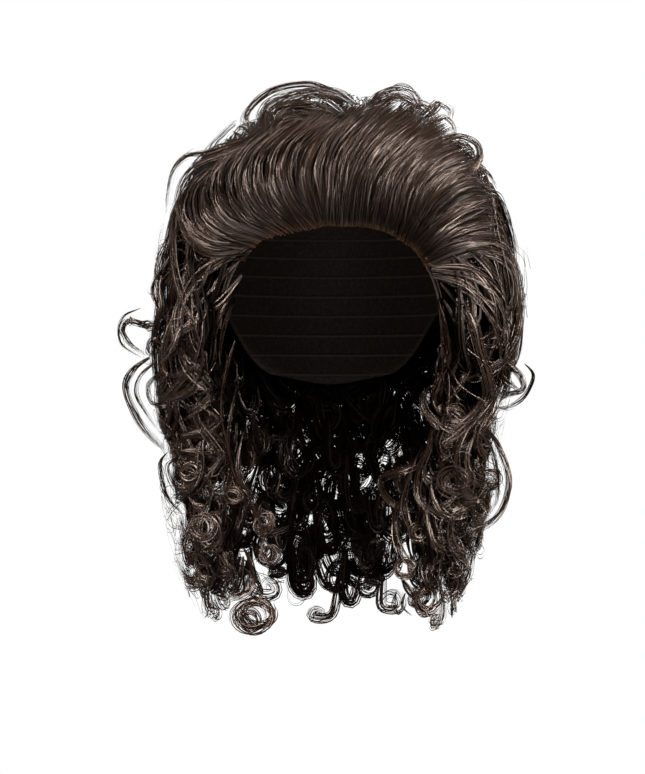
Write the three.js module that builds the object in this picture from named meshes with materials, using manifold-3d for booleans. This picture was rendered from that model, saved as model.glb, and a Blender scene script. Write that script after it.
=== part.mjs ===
// A curly, shoulder-length wig, swept back from its hairline and sewn on a stretch cap.
// Millimetres, +Z up, the face opening towards -Y. The origin is where the crown of a head meets the cap.
// Azimuths are in degrees, 0 at the middle of the forehead and positive towards +X.
import * as THREE from "three";
import { mergeVertices } from "three/addons/utils/BufferGeometryUtils.js";
import Module from "manifold-3d";

const wasm = await Module();
wasm.setup();
const { degToRad, radToDeg, lerp, smoothstep, clamp } = THREE.MathUtils;

// The head that the cap fits
const HEAD_WIDTH = 150;
const HEAD_LENGTH = 190;
const CROWN_RISE = 95; // from the widest level up to the crown
const NECK_WIDTH = 108;
const NECK_LENGTH = 136;
const NECK_DROP = 120; // from the widest level down to the neck

// The cap and its front band. Drops are measured down from the crown.
const CAP_WALL = 2;
const HAIRLINE_DROP = 46;
const TEMPLE_DROP = 76;
const EAR_TAB_DROP = 118;
const EAR_NOTCH_DROP = 100;
const NAPE_DROP = 150;
const BAND_WIDTH = 10;
const BAND_WALL = 1;
const BAND_END = 80; // azimuth of the band's ends
const GAP = 0.3; // between neighbouring pieces
const SEAT = CAP_WALL + 2 * GAP; // lift of what lies on the cap

// The hair
const HAIR_DROP = 318; // down to the tips of the lowest curls
const BODY_DROP = 226; // down to where the dense hair breaks up into single curls
const RIM_DROP = 42; // down to where the swept top hair meets the hair at the sides
const BACK_RIM_DROP = 24; // and the hair at the back
const RIM_RISE_FROM = 90; // azimuths between which the rim rises from the sides to the back
const RIM_RISE_TO = 150;
const RIM_CORNER = 8; // degrees over which the rim leaves the hairline
const HAIR_VOLUME = 50; // how far the hair stands off the head
const FRONT_RISE = 52; // how far behind its front edge the hair reaches its full volume
const HAIR_WALL = 4; // the thinnest hair on the cap
const PARTING = 1; // between the dense hair of neighbouring areas
const LOCK_WIDTH = 26;
const LOCK_DEPTH = 14;
const LOCK_SHAPE = { root: 0.6, full: 0.35, thin: 0.5, tip: 0.35 }; // root and tip are shares of the width
const LOCK_MARGIN = 0.16; // share of an area that its free locks leave at each border
const LOCK_UNEVEN = 0.1; // share of the fall by which locks end apart
const CURL_RADIUS = 13;
const CURL_EASE = 0.3; // share of a lock over which its curl opens

// The cap's edge from the middle of the forehead round to the nape, the same on both sides
const CAP_EDGE = [
  { azimuth: 0, drop: HAIRLINE_DROP },
  { azimuth: 30, drop: HAIRLINE_DROP * 1.08 },
  { azimuth: 50, drop: lerp(HAIRLINE_DROP, TEMPLE_DROP, 0.5) },
  { azimuth: 60, drop: TEMPLE_DROP },
  { azimuth: 70, drop: lerp(TEMPLE_DROP, EAR_TAB_DROP, 0.45) },
  { azimuth: 78, drop: EAR_TAB_DROP },
  { azimuth: 84, drop: EAR_TAB_DROP },
  { azimuth: 94, drop: EAR_NOTCH_DROP },
  { azimuth: 112, drop: EAR_NOTCH_DROP },
  { azimuth: 135, drop: lerp(EAR_NOTCH_DROP, NAPE_DROP, 0.8) },
  { azimuth: 180, drop: NAPE_DROP },
];

// How far the hair stands off the head, as shares of HAIR_VOLUME on the left and on the right.
// down is a share of HAIR_DROP.
const VOLUMES = [
  { down: 0, left: 0.86, right: 0.88 },
  { down: 0.1, left: 0.86, right: 1.06 },
  { down: 0.3, left: 0.82, right: 1.02 },
  { down: 0.5, left: 1, right: 1 },
  { down: 0.68, left: 1.1, right: 1.04 },
  { down: 0.85, left: 0.86, right: 0.76 },
  { down: 1, left: 0.5, right: 0.5 },
];
const EDGE_SHARE = 0.16; // the volume that is left at the front edge
const GROOVE_SHARE = 0.72; // the volume of the dense hair in the grooves between its locks
const CREST_SHARE = 0.96; // and on their crests
const TOP_SHARE = 0.8; // the dense hair's volume under the swept locks
const RIDGES = 3; // locks in relief across an area
const WAVES = 1.3; // waves along them
const RIDGE_SWAY = 0.1; // how far they wave, as a share of the area
const BODY_END = { from: 0.7, share: 0.65 }; // where the dense hair thins, and the volume it thins to
const BODY_INSIDE = { from: 0.6, share: 0.3 }; // where its inside leaves the head, and how far it stands off

// Borders between the areas of falling hair: azimuths at the top rim and where the hair hangs free
const BORDERS = [
  { rim: 56, low: 66 },
  { rim: 84, low: 92 },
  { rim: 118, low: 122 },
  { rim: 154, low: 156 },
];
const SWING_SHARE = 0.4; // share of the fall over which a border swings from rim to low
const BORDER_SWAY = 3; // degrees that a border waves to either side
const BORDER_WAVES = 1.5; // waves down a border
const FACE_REACH = 18; // azimuth that a curl may reach in front of the face

// The areas of falling hair, each between two borders, and which way their azimuths count
const FALLS = [
  { name: "temple_locks_left", border: 0, sign: -1 },
  { name: "temple_locks_right", border: 0, sign: 1 },
  { name: "side_curls_left", border: 1, sign: -1 },
  { name: "side_curls_right", border: 1, sign: 1 },
  { name: "rear_curls_left", border: 2, sign: -1 },
  { name: "rear_curls_right", border: 2, sign: 1 },
  { name: "back_curls", border: 3, sign: 1 },
];

// Layers of free locks in each area of falling hair. from and to are shares of the fall. root, middle and
// tip are shares of the hair's volume. width and curl are shares of LOCK_WIDTH and CURL_RADIUS.
const FALL_LAYERS = [
  { count: 2, from: 0.22, to: 0.84, root: 0.74, middle: 1.16, tip: 0.9, width: 0.9, curl: 0.7, turns: 1.5 },
  { count: 2, from: 0.58, to: 0.97, root: 0.45, middle: 0.7, tip: 0.66, width: 0.72, curl: 1, turns: 1.8 },
];

// Single curls that stand out of an area. azimuth and end place the root and the tip, from and to are
// shares of HAIR_DROP, reach and tip are shares of HAIR_VOLUME, and curl is a share of CURL_RADIUS.
const LOOSE_CURLS = [
  { area: "side_curls_left", azimuth: -94, end: -90, from: 0.19, to: 0.36, reach: 1.1, tip: 0.7, curl: 0.2 },
  { area: "temple_locks_left", azimuth: -86, end: -82, from: 0.33, to: 0.46, reach: 1.24, tip: 1, curl: 0.9 },
  { area: "side_curls_left", azimuth: -96, end: -100, from: 0.4, to: 0.64, reach: 1.46, tip: 0.9, curl: 0.3 },
  { area: "rear_curls_left", azimuth: -130, end: -142, from: 0.66, to: 0.96, reach: 0.5, tip: 0.4, curl: 1.2 },
  { area: "side_curls_right", azimuth: 96, end: 94, from: 0.38, to: 0.54, reach: 1.34, tip: 0.9, curl: 0.6 },
  { area: "side_curls_right", azimuth: 98, end: 106, from: 0.52, to: 0.8, reach: 1.16, tip: 0.6, curl: 0.3 },
  { area: "temple_locks_right", azimuth: 74, end: 36, from: 0.44, to: 0.57, reach: 0.5, tip: 0.24, curl: 0.3 },
];
const LOOSE_ROOT = 0.6; // share of HAIR_VOLUME at which they leave the dense hair
const LOOSE_SHAPE = { turns: 1.5, width: 0.55, depth: 0.7 }; // width and depth are shares of a lock's

// Locks swept from the hairline over the top. right and back place a tip on the flat map of the head,
// on which the widest level is 1 from the crown. reach is a share of the volume.
const SWEPT_LOCKS = [
  { root: -51, right: -0.5, back: 0.02, reach: 0.84, wave: -0.03 },
  { root: -36, right: -0.38, back: 0.2, reach: 1, wave: -0.07 },
  { root: -21, right: -0.22, back: 0.3, reach: 0.96, wave: -0.12 },
  { root: -7, right: -0.02, back: 0.36, reach: 1.06, wave: -0.11 },
  { root: 7, right: 0.18, back: 0.34, reach: 0.98, wave: 0.04 },
  { root: 22, right: 0.32, back: 0.26, reach: 1.06, wave: 0.08 },
  { root: 37, right: 0.44, back: 0.14, reach: 0.98, wave: 0.07 },
  { root: 51, right: 0.52, back: 0, reach: 0.86, wave: 0.04 },
];
const SWEPT_SHARES = { root: 0.8, middle: 1.04, tip: 0.76 }; // of their reach
const SWEPT_STRAIGHT = 0.2; // share of a lock before it waves
const SWEPT_WIDTH = 1.2; // share of LOCK_WIDTH
const SWEPT_CURL = { share: 0.6, turns: 1.6, start: 0.55 }; // share is of CURL_RADIUS

const QUARTER_TURN = Math.PI / 2;
const LOCK_SIDES = 4;
const LOCK_STEPS = 8;
const CAP_GRID = { rows: 5, segments: 28 };
const TOP_GRID = { rows: 5, segments: 24 };
const TOP_SPACE_GRID = { rows: 8, segments: 40 };
const ARC_LENGTH = CROWN_RISE * QUARTER_TURN; // millimetres down the head for each unit of arc
const GAP_ARC = GAP / ARC_LENGTH;
const GOLDEN_SHARE = 0.618; // spreads the small differences between locks
const BLOCK_LIFT = 2 * HAIR_VOLUME; // beyond the reach of any lock

// A table's column at a value of its key, straight between rows
function between(rows, key, column, value) {
  const next = rows.findIndex((row) => row[key] >= value);
  if (next < 0) return rows.at(-1)[column];
  if (next === 0) return rows[0][column];
  const [a, b] = [rows[next - 1], rows[next]];
  return lerp(a[column], b[column], (value - a[key]) / (b[key] - a[key]));
}

// A number from 0 to 1 that differs from lock to lock
function varied(...seeds) {
  const spread = seeds.reduce((sum, seed, i) => sum + (seed + 1) * (i + 1) * GOLDEN_SHARE, 0);
  return spread - Math.floor(spread);
}

// How far round the head a drop lies: 0 at the crown, 1 at the widest level, and on down the neck
function arcAt(drop) {
  if (drop > CROWN_RISE) return 1 + (drop - CROWN_RISE) / ARC_LENGTH;
  return Math.acos(1 - drop / CROWN_RISE) / QUARTER_TURN;
}

function dropAt(arc) {
  if (arc > 1) return CROWN_RISE + (arc - 1) * ARC_LENGTH;
  return CROWN_RISE * (1 - Math.cos(arc * QUARTER_TURN));
}

const folded = (azimuth) => Math.abs(azimuth > 180 ? azimuth - 360 : azimuth);
const edgeArc = (azimuth) => arcAt(between(CAP_EDGE, "azimuth", "drop", folded(azimuth)));

// Where the top hair ends: past the hairline in front, and at the rim at the sides and back
function rimArc(azimuth) {
  const turn = folded(azimuth);
  const { rim } = BORDERS[0];
  const open = edgeArc(Math.min(turn, rim)) + BAND_WIDTH / ARC_LENGTH;
  const closed = arcAt(lerp(RIM_DROP, BACK_RIM_DROP, smoothstep(turn, RIM_RISE_FROM, RIM_RISE_TO)));
  return lerp(open, closed, smoothstep(turn, rim - RIM_CORNER, rim));
}

// A point at an azimuth and arc, standing off the head by lift, with the way that it faces
function onHead(azimuth, arc, lift) {
  const polar = Math.min(arc, 1) * QUARTER_TURN;
  const fall = Math.max(arc - 1, 0) * ARC_LENGTH;
  const neck = smoothstep(fall, 0, NECK_DROP);
  const halfWidth = lerp(HEAD_WIDTH, NECK_WIDTH, neck) / 2;
  const halfLength = lerp(HEAD_LENGTH, NECK_LENGTH, neck) / 2;
  const turn = degToRad(azimuth);
  const foot = new THREE.Vector3(
    halfWidth * Math.sin(polar) * Math.sin(turn),
    -halfLength * Math.sin(polar) * Math.cos(turn),
    CROWN_RISE * Math.cos(polar),
  );
  const radii = new THREE.Vector3(halfWidth, halfLength, CROWN_RISE);
  const normal = foot.clone().divide(radii).divide(radii).normalize();
  foot.z -= CROWN_RISE + fall;
  return { point: foot.addScaledVector(normal, lift), normal };
}

// How far the hair's outside stands off the head: thin along the face, and full behind and above it
function standOff(azimuth, arc) {
  const corner = BORDERS[0].rim;
  const behind = degToRad(Math.max(folded(azimuth) - corner, 0)) * (HEAD_WIDTH / 2);
  const above = Math.max(edgeArc(Math.min(folded(azimuth), corner)) - arc, 0) * ARC_LENGTH;
  const rise = smoothstep(Math.hypot(behind, above), 0, FRONT_RISE);
  const down = dropAt(arc) / HAIR_DROP;
  const rightShare = (1 + Math.sin(degToRad(azimuth))) / 2;
  const left = between(VOLUMES, "down", "left", down);
  const right = between(VOLUMES, "down", "right", down);
  return HAIR_VOLUME * lerp(left, right, rightShare) * lerp(EDGE_SHARE, 1, rise);
}

// A closed geometry with each vertex moved by place, as a solid that faces out
function solidOf(geometry, place) {
  const position = geometry.getAttribute("position");
  const vertex = new THREE.Vector3();
  for (let i = 0; i < position.count; i++) {
    vertex.fromBufferAttribute(position, i);
    const { x, y, z } = place(vertex);
    position.setXYZ(i, x, y, z);
  }
  geometry.deleteAttribute("normal");
  geometry.deleteAttribute("uv");
  const merged = mergeVertices(geometry, 1e-3);
  const corners = [];
  for (let i = 0; i < merged.index.count; i += 3) {
    const [a, b, c] = [0, 1, 2].map((k) => merged.index.getX(i + k));
    if (a !== b && b !== c && c !== a) corners.push(a, b, c);
  }
  const vertProperties = merged.getAttribute("position").array;
  const build = (order) =>
    new wasm.Manifold(new wasm.Mesh({ numProp: 3, vertProperties, triVerts: new Uint32Array(order) }));
  const made = build(corners);
  return made.volume() < 0 ? build(corners.reverse()) : made;
}

// A dome over the crown, out to the arc reach(azimuth). low and high give the lifts of its two faces.
function domeSolid({ reach, low, high, rows, segments }) {
  const shares = Array.from({ length: rows + 1 }, (_, i) => i / rows);
  const profile = [
    ...shares.map((share) => new THREE.Vector2(share, 1)),
    ...shares.reverse().map((share) => new THREE.Vector2(share, 0)),
  ];
  return solidOf(new THREE.LatheGeometry(profile, segments), ({ x, y, z }) => {
    const azimuth = radToDeg(Math.atan2(x, z));
    const arc = Math.hypot(x, z) * reach(azimuth);
    return onHead(azimuth, arc, (y > 0.5 ? high : low)(azimuth, arc)).point;
  });
}

// A slab on the head. place turns shares across, down and out into an azimuth, an arc and a lift.
function slabSolid(columns, rows, place) {
  return solidOf(new THREE.BoxGeometry(1, 1, 1, columns, rows, 1), ({ x, y, z }) => {
    const { azimuth, arc, lift } = place(x + 0.5, y + 0.5, z + 0.5);
    return onHead(azimuth, arc, lift).point;
  });
}

// A lock: a tapered tube of oval section along centre(t), whose root lies flat against outward
function lockSolid({ centre, outward, width, depth }) {
  const steps = LOCK_STEPS;
  const { root, full, thin, tip } = LOCK_SHAPE;
  const path = Array.from({ length: steps + 1 }, (_, i) => centre(i / steps));
  const frames = [];
  let flat = outward;
  for (let i = 0; i <= steps; i++) {
    const along = path[Math.min(i + 1, steps)].clone().sub(path[Math.max(i - 1, 0)]).normalize();
    flat = flat.clone().addScaledVector(along, -flat.dot(along)).normalize();
    frames.push({ flat, side: along.clone().cross(flat) });
  }
  return solidOf(new THREE.CylinderGeometry(1, 1, 1, LOCK_SIDES, steps), ({ x, y, z }) => {
    const t = clamp(y + 0.5, 0, 1);
    const { flat, side } = frames[Math.round(t * steps)];
    const swell = lerp(root, 1, smoothstep(t, 0, full)) * lerp(1, tip, smoothstep(t, thin, 1));
    return path[Math.round(t * steps)]
      .clone()
      .addScaledVector(side, (x * width * swell) / 2)
      .addScaledVector(flat, (z * depth * swell) / 2);
  });
}

// A centreline that follows route(t) and winds round it, or round the axis that is named
function curled(route, { radius, turns, phase, start = CURL_EASE, axis = "along" }) {
  const step = 0.01;
  return (t) => {
    const { point, normal } = route(t);
    const before = route(Math.max(t - step, 0)).point;
    const along = route(Math.min(t + step, 1)).point.sub(before).normalize();
    const out = normal.clone().addScaledVector(along, -normal.dot(along)).normalize();
    const side = along.clone().cross(out);
    const [first, second] = { along: [out, side], out: [along, side], side: [along, out] }[axis];
    const size = radius * smoothstep(t, start, Math.min(start + CURL_EASE, 1));
    const turn = 2 * Math.PI * (turns * Math.max(t - start, 0) + phase);
    return point.addScaledVector(first, size * Math.cos(turn)).addScaledVector(second, size * Math.sin(turn));
  };
}

// A share that runs from root through middle to tip
function liftShare({ root, middle, tip }, t) {
  if (t < 0.5) return lerp(root, middle, smoothstep(t, 0, 0.5));
  return lerp(middle, tip, smoothstep(t, 0.5, 1));
}

// The azimuth of a border at a share of the fall. The last border again, on the other side, closes the back.
function borderAt(index, down) {
  if (index === BORDERS.length) return 360 - borderAt(index - 1, down);
  const { rim, low } = BORDERS[index];
  const sway = BORDER_SWAY * Math.sin(2 * Math.PI * (BORDER_WAVES * down + index * GOLDEN_SHARE));
  return lerp(rim, low, smoothstep(down, 0, SWING_SHARE)) + sway * smoothstep(down, 0, SWING_SHARE);
}

// A place in an area of falling hair, as azimuth and arc
function inFall(border, share, down) {
  const azimuth = lerp(borderAt(border, down), borderAt(border + 1, down), share);
  return { azimuth, arc: lerp(rimArc(azimuth), arcAt(HAIR_DROP), down) };
}

// The space that an area of falling hair may fill, grown by a margin towards its neighbours
function fallBlock(border, sign, margin) {
  const spare = radToDeg(margin / (HEAD_WIDTH / 2));
  return slabSolid(6, 9, (x, y, z) => {
    const down = y * (1 + CURL_RADIUS / BODY_DROP);
    const from = border === 0 ? FACE_REACH : borderAt(border, down);
    const azimuth = lerp(from - spare, borderAt(border + 1, down) + spare, x);
    const arc = lerp(rimArc(azimuth), arcAt(HAIR_DROP), down) + 2 * GAP_ARC;
    return { azimuth: sign * azimuth, arc, lift: z * BLOCK_LIFT };
  });
}

// The dense hair of an area, from the rim to where it breaks up into curls, with its locks in relief
function fallBody(border, sign) {
  const end = (BODY_DROP - RIM_DROP) / (HAIR_DROP - RIM_DROP);
  const inset = radToDeg(PARTING / HEAD_WIDTH);
  return slabSolid(3 * RIDGES, 6, (x, y, z) => {
    const place = inFall(border, x, y * end);
    const azimuth = place.azimuth + lerp(inset, -inset, x);
    const arc = place.arc + PARTING / ARC_LENGTH;
    const volume = standOff(sign * azimuth, arc);
    const sway = RIDGE_SWAY * Math.sin(2 * Math.PI * (WAVES * y + border * GOLDEN_SHARE));
    const crest = (1 + Math.cos(2 * Math.PI * RIDGES * (x + sway))) / 2;
    const ending = lerp(1, BODY_END.share, smoothstep(y, BODY_END.from, 1));
    const outer = Math.max(SEAT + HAIR_WALL, volume * ending * lerp(GROOVE_SHARE, CREST_SHARE, crest));
    const inside = lerp(SEAT, BODY_INSIDE.share * volume, smoothstep(y, BODY_INSIDE.from, 1));
    const inner = Math.min(inside, outer - HAIR_WALL);
    return { azimuth: sign * azimuth, arc, lift: lerp(inner, outer, z) };
  });
}

// The free locks of an area
function fallLocks(border, sign) {
  return FALL_LAYERS.flatMap((row, layer) =>
    Array.from({ length: row.count }, (_, i) => {
      const vary = varied(i, layer, border, sign);
      const share = lerp(LOCK_MARGIN, 1 - LOCK_MARGIN, (i + 0.5) / row.count);
      const route = (t) => {
        const { azimuth, arc } = inFall(border, share, lerp(row.from, row.to - LOCK_UNEVEN * vary, t));
        return onHead(sign * azimuth, arc, liftShare(row, t) * standOff(sign * azimuth, arc));
      };
      return lockSolid({
        centre: curled(route, { radius: row.curl * CURL_RADIUS, turns: row.turns, phase: vary }),
        outward: route(0).normal,
        width: row.width * LOCK_WIDTH,
        depth: row.width * LOCK_DEPTH,
        });
    }),
  );
}

// The single curls that stand out of an area
function looseCurls(area) {
  return LOOSE_CURLS.filter((row) => row.area === area).map((row) => {
    const route = (t) => {
      const azimuth = lerp(row.azimuth, row.end, t);
      const arc = arcAt(HAIR_DROP * lerp(row.from, row.to, t));
      const shares = { root: LOOSE_ROOT, middle: row.reach, tip: row.tip };
      return onHead(azimuth, arc, HAIR_VOLUME * liftShare(shares, t));
    };
    const { turns, width, depth } = LOOSE_SHAPE;
    return lockSolid({
      centre: curled(route, { radius: row.curl * CURL_RADIUS, turns, phase: 0, axis: "side" }),
      outward: route(0).normal,
      width: width * LOCK_WIDTH,
      depth: depth * LOCK_DEPTH,
    });
  });
}

// The dense hair on top, from the hairline to the rim
function topBody() {
  const shown = BAND_WIDTH / 4 / ARC_LENGTH;
  const parted = PARTING / ARC_LENGTH;
  return domeSolid({
    reach: (azimuth) => Math.min(edgeArc(azimuth) - shown, rimArc(azimuth) - parted),
    low: () => SEAT,
    high: (azimuth, arc) => Math.max(SEAT + HAIR_WALL, TOP_SHARE * standOff(azimuth, arc)),
    ...TOP_GRID,
  });
}

// A route from the hairline over the top
function sweptRoute({ root, right, back, reach, wave }) {
  const start = edgeArc(root) - BAND_WIDTH / 2 / ARC_LENGTH;
  const from = { right: start * Math.sin(degToRad(root)), back: -start * Math.cos(degToRad(root)) };
  return (t) => {
    const swing = wave * Math.sin(2 * Math.PI * t) * smoothstep(t, 0, SWEPT_STRAIGHT);
    const onRight = lerp(from.right, right, t) + swing;
    const onBack = lerp(from.back, back, t);
    const azimuth = radToDeg(Math.atan2(onRight, -onBack));
    const arc = Math.hypot(onRight, onBack);
    return onHead(azimuth, arc, reach * liftShare(SWEPT_SHARES, t) * standOff(azimuth, arc));
  };
}

function topLocks() {
  return SWEPT_LOCKS.map((row, i) => {
    const route = sweptRoute(row);
    const { share, turns, start } = SWEPT_CURL;
    const curl = { radius: share * CURL_RADIUS, turns, phase: varied(i), start, axis: "side" };
    return lockSolid({
      centre: curled(route, curl),
      outward: route(0).normal,
      width: SWEPT_WIDTH * LOCK_WIDTH,
      depth: LOCK_DEPTH,
    });
  });
}

// The band along the front of the cap, grown by a margin on every side
function bandSolid(margin) {
  return slabSolid(18, 1, (x, y, z) => {
    const azimuth = lerp(-BAND_END, BAND_END, x);
    const arc = edgeArc(azimuth) + lerp(margin, -BAND_WIDTH - margin, y) / ARC_LENGTH;
    return { azimuth, arc, lift: SEAT + lerp(-margin, BAND_WALL + margin, z) };
  });
}

const capSpace = domeSolid({
  reach: (azimuth) => edgeArc(azimuth) + GAP_ARC,
  low: () => -CAP_WALL,
  high: () => CAP_WALL + GAP,
  ...CAP_GRID,
});
const cap = domeSolid({ reach: edgeArc, low: () => 0, high: () => CAP_WALL, ...CAP_GRID });
const bandSpace = bandSolid(GAP);
const topSpace = (margin) =>
  domeSolid({
    reach: (azimuth) => rimArc(azimuth) - margin / ARC_LENGTH,
    low: () => -CAP_WALL,
    high: () => BLOCK_LIFT,
    ...TOP_SPACE_GRID,
  });

// The hair that holds together at its roots. What a border cuts off falls away, and bubbles between
// curls fill.
function rooted(solid) {
  const bodies = new wasm.Manifold(solid.getMesh()).decompose();
  return bodies.reduce((kept, body) => (body.volume() > kept.volume() ? body : kept));
}

const wig = new THREE.Group();
const hairMaterial = new THREE.MeshStandardMaterial({ color: 0x2e2420, roughness: 0.45, metalness: 0 });
const capMaterial = new THREE.MeshStandardMaterial({ color: 0x1c1715, roughness: 0.85, metalness: 0 });
const bandMaterial = new THREE.MeshStandardMaterial({ color: 0x4a3426, roughness: 0.7, metalness: 0 });

function addPiece(name, solid, material) {
  const { numProp, numVert, vertProperties, triVerts } = solid.getMesh();
  const corners = new Float32Array(numVert * 3);
  for (let i = 0; i < numVert; i++) corners.set(vertProperties.subarray(i * numProp, i * numProp + 3), i * 3);
  const geometry = new THREE.BufferGeometry();
  geometry.setAttribute("position", new THREE.BufferAttribute(corners, 3));
  geometry.setIndex(new THREE.BufferAttribute(new Uint32Array(triVerts), 1));
  geometry.computeVertexNormals();
  const mesh = new THREE.Mesh(geometry, material);
  mesh.name = name;
  wig.add(mesh);
}

addPiece("cap", cap, capMaterial);
addPiece("hairline_band", bandSolid(0).subtract(capSpace), bandMaterial);

const sewnSpace = wasm.Manifold.union([capSpace, bandSpace]);
const topHair = wasm.Manifold.union([topBody(), ...topLocks()]);
addPiece("front_sweep", rooted(topHair.intersect(topSpace(GAP)).subtract(sewnSpace)), hairMaterial);

let takenSpace = wasm.Manifold.union([sewnSpace, topSpace(0)]);
for (const { name, border, sign } of FALLS) {
  const hair = wasm.Manifold.union([fallBody(border, sign), ...fallLocks(border, sign), ...looseCurls(name)]);
  addPiece(name, rooted(hair.intersect(fallBlock(border, sign, 0)).subtract(takenSpace)), hairMaterial);
  takenSpace = takenSpace.add(fallBlock(border, sign, GAP));
}

export default wig;
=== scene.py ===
"""The looks of a curly wig: strands of hair, stretch cap and hairline band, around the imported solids.

Lengths are in millimetres and become metres where a mesh is made. Azimuths are in degrees round the head,
0 at the middle of the forehead and positive towards +X. An arc is 0 at the crown, 1 at the head's widest
level, and grows on down the neck. A lift is a distance off the head.
"""
import math

import bpy
import numpy as np
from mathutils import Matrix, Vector


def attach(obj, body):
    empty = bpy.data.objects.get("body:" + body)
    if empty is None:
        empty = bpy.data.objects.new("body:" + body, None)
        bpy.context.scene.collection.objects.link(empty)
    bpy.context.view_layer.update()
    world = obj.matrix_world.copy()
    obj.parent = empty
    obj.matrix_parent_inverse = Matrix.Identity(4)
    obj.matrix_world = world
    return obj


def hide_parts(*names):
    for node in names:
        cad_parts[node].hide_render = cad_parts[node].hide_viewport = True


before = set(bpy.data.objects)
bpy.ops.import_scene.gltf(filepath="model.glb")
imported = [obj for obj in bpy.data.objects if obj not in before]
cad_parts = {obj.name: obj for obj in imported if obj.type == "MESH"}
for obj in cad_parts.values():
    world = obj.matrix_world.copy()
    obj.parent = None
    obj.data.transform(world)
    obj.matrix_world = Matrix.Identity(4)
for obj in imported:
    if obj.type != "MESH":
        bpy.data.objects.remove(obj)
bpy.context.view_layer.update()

MM = 0.001
GOLDEN_SHARE = 0.618  # spreads locks evenly
SHADES = 48  # different tints among the strands of a piece
WEFT_ROWS = 30  # round both faces of the cap
WHOLE, LIT, DARK = (0, 1), (0.24, 1), (0.12, 0.24)  # stretches of the tones from knot to tip; the low tones are painted shade, which DARK keeps to
rng = np.random.default_rng(11)

# The head, the cap and the hair, as in the solids
HEAD_WIDTH, HEAD_LENGTH, CROWN_RISE = 150, 190, 95
NECK_WIDTH, NECK_LENGTH, NECK_DROP = 108, 136, 120
CAP_WALL, BAND_WIDTH, BAND_WALL, BAND_END, GAP = 2, 10, 1, 80, 0.3
HAIRLINE_DROP, TEMPLE_DROP, EAR_TAB_DROP, EAR_NOTCH_DROP, NAPE_DROP = 46, 76, 118, 100, 150
HAIR_DROP, RIM_DROP = 318, 42
HAIR_VOLUME, FRONT_RISE, EDGE_SHARE = 50, 52, 0.16
ARC_LENGTH = CROWN_RISE * math.pi / 2

# Drop of the cap's edge below the crown, from the middle of the forehead round to the nape
CAP_EDGE = {
    "azimuth": [0, 30, 50, 60, 70, 78, 84, 94, 112, 135, 180],
    "drop": [
        HAIRLINE_DROP,
        HAIRLINE_DROP * 1.08,
        (HAIRLINE_DROP + TEMPLE_DROP) / 2,
        TEMPLE_DROP,
        TEMPLE_DROP + 0.45 * (EAR_TAB_DROP - TEMPLE_DROP),
        EAR_TAB_DROP,
        EAR_TAB_DROP,
        EAR_NOTCH_DROP,
        EAR_NOTCH_DROP,
        EAR_NOTCH_DROP + 0.8 * (NAPE_DROP - EAR_NOTCH_DROP),
        NAPE_DROP,
    ],
}

# How far the hair stands off the head, as shares of HAIR_VOLUME, by share of HAIR_DROP
VOLUMES = {
    "down": [0, 0.1, 0.3, 0.5, 0.68, 0.85, 1],
    "left": [0.86, 0.86, 0.82, 1, 1.1, 0.86, 0.5],
    "right": [0.88, 1.06, 1.02, 1, 1.04, 0.76, 0.5],
}

# Borders between the areas of falling hair: azimuths at the top rim and where the hair hangs free
BORDERS = [(56, 66), (84, 92), (118, 122), (154, 156)]
SWING_SHARE = 0.4

AREAS = [
    {"piece": "temple_locks_left", "border": 0, "sign": -1, "locks": 33, "inner": 9, "low": 18},
    {"piece": "temple_locks_right", "border": 0, "sign": 1, "locks": 33, "inner": 9, "low": 18},
    {"piece": "side_curls_left", "border": 1, "sign": -1, "locks": 56, "inner": 10, "low": 20},
    {"piece": "side_curls_right", "border": 1, "sign": 1, "locks": 56, "inner": 10, "low": 20},
    {"piece": "rear_curls_left", "border": 2, "sign": -1, "locks": 54, "inner": 13, "low": 26},
    {"piece": "rear_curls_right", "border": 2, "sign": 1, "locks": 54, "inner": 13, "low": 26},
    {"piece": "back_curls", "border": 3, "sign": 1, "locks": 78, "inner": 20, "low": 54},
]

# Guides of the hair swept off the face, from the left temple round to the right one. Each is a line of
# (across, height) places as seen from the front, from the hairline to the tip.
SWEEP_GUIDES = [
    [(-57, -63), (-77, -62), (-95, -50), (-99, -32), (-91, -14), (-73, -3)],
    [(-52, -57), (-73, -53), (-86, -41), (-87, -24), (-78, -10), (-60, 4)],
    [(-46, -52), (-66, -45), (-78, -30), (-75, -10), (-61, 4), (-40, 14)],
    [(-39, -49), (-57, -41), (-66, -25), (-62, -5), (-46, 11), (-20, 26)],
    [(-28, -47), (-43, -37), (-51, -21), (-48, -3), (-29, 15), (-4, 33)],
    [(-18, -46), (-32, -34), (-39, -18), (-35, 1), (-15, 19), (8, 37)],
    [(-8, -46.2), (-18, -30), (-22, -14), (-16, 4), (1, 21), (16, 36)],
    [(-2, -46.5), (-2, -27), (-1, -9), (7, 7), (21, 23), (36, 38)],
    [(8, -46.5), (9, -27), (13, -11), (23, 6), (39, 23), (54, 35)],
    [(18, -46.5), (20, -28), (25, -14), (38, 2), (53, 17), (67, 29)],
    [(27, -47.5), (29, -30), (34, -15), (46, -1), (62, 11), (78, 21)],
    [(36, -49.5), (38, -32), (44, -15), (56, -2), (71, 7), (88, 12)],
    [(44, -52.5), (48, -34), (55, -19), (67, -7), (82, 1), (94, 5)],
    [(51, -57.5), (57, -40), (67, -25), (79, -16), (92, -12), (103, -13)],
    [(56, -61), (67, -46), (84, -34), (99, -29), (110, -34), (116, -48)],
    [(60, -66), (77, -53), (97, -46), (112, -49), (120, -62), (122, -78)],
    [(63, -70), (83, -63), (103, -62), (117, -72), (121, -90), (117, -106)],
]

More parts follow.
